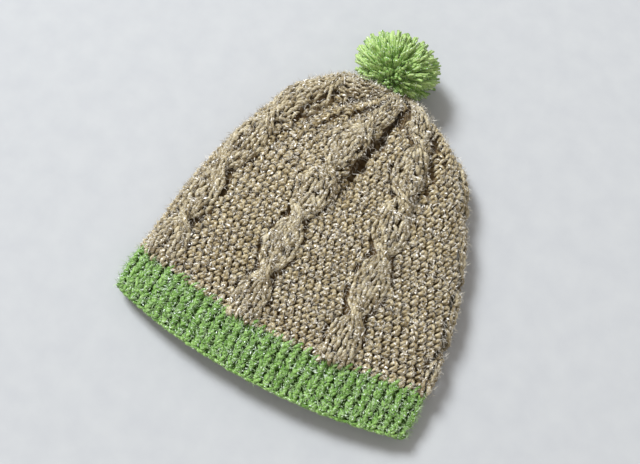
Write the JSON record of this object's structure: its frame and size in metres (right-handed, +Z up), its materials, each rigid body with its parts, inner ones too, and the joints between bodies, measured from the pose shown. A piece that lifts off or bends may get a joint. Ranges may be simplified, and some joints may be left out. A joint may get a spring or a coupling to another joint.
{
  "type": "crocheted bobble cap",
  "caption": "Crocheted pull-on winter cap lying flat, with raised cables, a ribbed band at the opening and a round yarn pompom at the gathered top.",
  "frame": {"origin": "the middle of the lying cap's box, on the surface it lies on", "axes": "+X across the flat cap to its right side, +Y from the brim to the pompom, +Z up, away from the surface it lies on"},
  "size_m": [0.2252, 0.28, 0.0487],
  "materials": {
    "tan_yarn": "fuzzy crocheted yarn with fine bright glints",
    "green_yarn": "fuzzy crocheted yarn with fine bright glints",
    "pompom_yarn": "cut yarn ends"
  },
  "bodies": {
    "root": {"crown": "tan_yarn", "brim": "green_yarn", "pompom": "pompom_yarn"}
  },
  "joints": []
}
